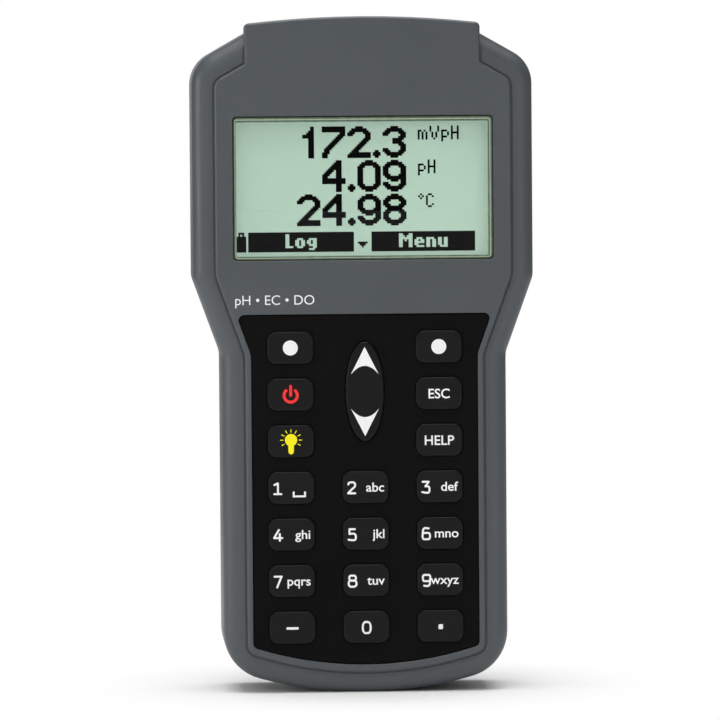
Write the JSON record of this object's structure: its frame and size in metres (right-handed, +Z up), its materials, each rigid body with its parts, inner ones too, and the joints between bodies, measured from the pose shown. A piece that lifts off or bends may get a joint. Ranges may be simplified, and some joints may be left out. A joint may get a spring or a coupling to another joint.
{
  "type": "multiparameter water quality meter",
  "caption": "Upright handheld meter with a graphic display, separate sprung keys, an arrow rocker, a battery bay and a threaded probe socket behind its hood.",
  "frame": {"origin": "middle of the underside, on the surface that the upright meter stands on", "axes": "+Z up along the meter's length, +X to the right seen from the front, +Y from the front to the back"},
  "size_m": [0.0932, 0.0352, 0.185],
  "materials": {
    "casing_grey": "fine matt texture",
    "rubber_black": "matt",
    "silicone_grey": "matt",
    "window_clear": "clear and polished",
    "display_face": "pale green display",
    "steel_bright": "bright",
    "light_guide": "milky",
    "board_green": "solder mask",
    "plastic_black": "matt",
    "keypad_black": "fine grain",
    "brass_plain": "plain",
    "contact_gold": "polished",
    "cell_sleeve": "printed sleeve, bare"
  },
  "bodies": {
    "meter": {"front_casing": "casing_grey", "rear_casing": "casing_grey", "casing_gasket": "rubber_black", "window_gasket": "rubber_black", "connector_seal": "rubber_black", "probe_socket_seal": "rubber_black", "usb_cap_anchor": "rubber_black", "key_mat": "silicone_grey", "lcd_contact_strips": "silicone_grey", "display_window": "window_clear", "lcd_glass": "display_face", "lcd_frame": "steel_bright", "usb_socket_shell": "steel_bright", "battery_contacts": "steel_bright", "battery_springs": "steel_bright", "snap_domes": "steel_bright", "casing_screws": "steel_bright", "lcd_backlight": "light_guide", "lcd_board": "board_green", "main_board": "board_green", "socket_board": "board_green", "board_components": "plastic_black", "buzzer": "plastic_black", "keypad_panel": "keypad_black", "connector_panel": "plastic_black", "probe_socket_insert": "plastic_black", "usb_socket_tongue": "plastic_black", "probe_socket_shell": "plastic_black", "probe_socket_nut": "brass_plain", "battery_cover_inserts": "brass_plain", "probe_socket_pins": "contact_gold", "battery_cells": "cell_sleeve"},
    "key_soft_left": {"key_soft_left": "keypad_black"},
    "key_soft_right": {"key_soft_right": "keypad_black"},
    "key_power": {"key_power": "keypad_black"},
    "key_escape": {"key_escape": "keypad_black"},
    "key_lamp": {"key_lamp": "keypad_black"},
    "key_help": {"key_help": "keypad_black"},
    "key_1": {"key_1": "keypad_black"},
    "key_2": {"key_2": "keypad_black"},
    "key_3": {"key_3": "keypad_black"},
    "key_4": {"key_4": "keypad_black"},
    "key_5": {"key_5": "keypad_black"},
    "key_6": {"key_6": "keypad_black"},
    "key_7": {"key_7": "keypad_black"},
    "key_8": {"key_8": "keypad_black"},
    "key_9": {"key_9": "keypad_black"},
    "key_minus": {"key_minus": "keypad_black"},
    "key_0": {"key_0": "keypad_black"},
    "key_point": {"key_point": "keypad_black"},
    "arrow_rocker": {"arrow_rocker": "keypad_black"},
    "battery_cover": {"battery_cover": "casing_grey", "battery_cover_gasket": "rubber_black", "battery_cover_screws": "steel_bright"},
    "usb_cap": {"usb_cap": "rubber_black"}
  },
  "joints": [
    {"name": "key_soft_left_press", "type": "slide", "parent": "meter", "child": "key_soft_left", "axis": [0, 1, 0], "range_m": [0, 0.0006], "stiffness_N_per_m": 2000},
    {"name": "key_soft_right_press", "type": "slide", "parent": "meter", "child": "key_soft_right", "axis": [0, 1, 0], "range_m": [0, 0.0006], "stiffness_N_per_m": 2000},
    {"name": "key_power_press", "type": "slide", "parent": "meter", "child": "key_power", "axis": [0, 1, 0], "range_m": [0, 0.0006], "stiffness_N_per_m": 2000},
    {"name": "key_escape_press", "type": "slide", "parent": "meter", "child": "key_escape", "axis": [0, 1, 0], "range_m": [0, 0.0006], "stiffness_N_per_m": 2000},
    {"name": "key_lamp_press", "type": "slide", "parent": "meter", "child": "key_lamp", "axis": [0, 1, 0], "range_m": [0, 0.0006], "stiffness_N_per_m": 2000},
    {"name": "key_help_press", "type": "slide", "parent": "meter", "child": "key_help", "axis": [0, 1, 0], "range_m": [0, 0.0006], "stiffness_N_per_m": 2000},
    {"name": "key_1_press", "type": "slide", "parent": "meter", "child": "key_1", "axis": [0, 1, 0], "range_m": [0, 0.0006], "stiffness_N_per_m": 2000},
    {"name": "key_2_press", "type": "slide", "parent": "meter", "child": "key_2", "axis": [0, 1, 0], "range_m": [0, 0.0006], "stiffness_N_per_m": 2000},
    {"name": "key_3_press", "type": "slide", "parent": "meter", "child": "key_3", "axis": [0, 1, 0], "range_m": [0, 0.0006], "stiffness_N_per_m": 2000},
    {"name": "key_4_press", "type": "slide", "parent": "meter", "child": "key_4", "axis": [0, 1, 0], "range_m": [0, 0.0006], "stiffness_N_per_m": 2000},
    {"name": "key_5_press", "type": "slide", "parent": "meter", "child": "key_5", "axis": [0, 1, 0], "range_m": [0, 0.0006], "stiffness_N_per_m": 2000},
    {"name": "key_6_press", "type": "slide", "parent": "meter", "child": "key_6", "axis": [0, 1, 0], "range_m": [0, 0.0006], "stiffness_N_per_m": 2000},
    {"name": "key_7_press", "type": "slide", "parent": "meter", "child": "key_7", "axis": [0, 1, 0], "range_m": [0, 0.0006], "stiffness_N_per_m": 2000},
    {"name": "key_8_press", "type": "slide", "parent": "meter", "child": "key_8", "axis": [0, 1, 0], "range_m": [0, 0.0006], "stiffness_N_per_m": 2000},
    {"name": "key_9_press", "type": "slide", "parent": "meter", "child": "key_9", "axis": [0, 1, 0], "range_m": [0, 0.0006], "stiffness_N_per_m": 2000},
    {"name": "key_minus_press", "type": "slide", "parent": "meter", "child": "key_minus", "axis": [0, 1, 0], "range_m": [0, 0.0006], "stiffness_N_per_m": 2000},
    {"name": "key_0_press", "type": "slide", "parent": "meter", "child": "key_0", "axis": [0, 1, 0], "range_m": [0, 0.0006], "stiffness_N_per_m": 2000},
    {"name": "key_point_press", "type": "slide", "parent": "meter", "child": "key_point", "axis": [0, 1, 0], "range_m": [0, 0.0006], "stiffness_N_per_m": 2000},
    {"name": "arrow_rocker_tilt", "type": "hinge", "parent": "meter", "child": "arrow_rocker", "pos_m": [0, -0.014, 0.0826], "axis": [1, 0, 0], "range_deg": [-2.5, 2.5], "stiffness_Nm_per_rad": 0.5},
    {"name": "battery_cover_lift_off", "type": "slide", "parent": "meter", "child": "battery_cover", "axis": [0, 1, 0], "range_m": [0, 0.03]},
    {"name": "usb_cap_swing", "type": "hinge", "parent": "meter", "child": "usb_cap", "pos_m": [0.021, 0.0025, 0.17105], "axis": [0, 1, 0], "range_deg": [0, 95]}
  ]
}
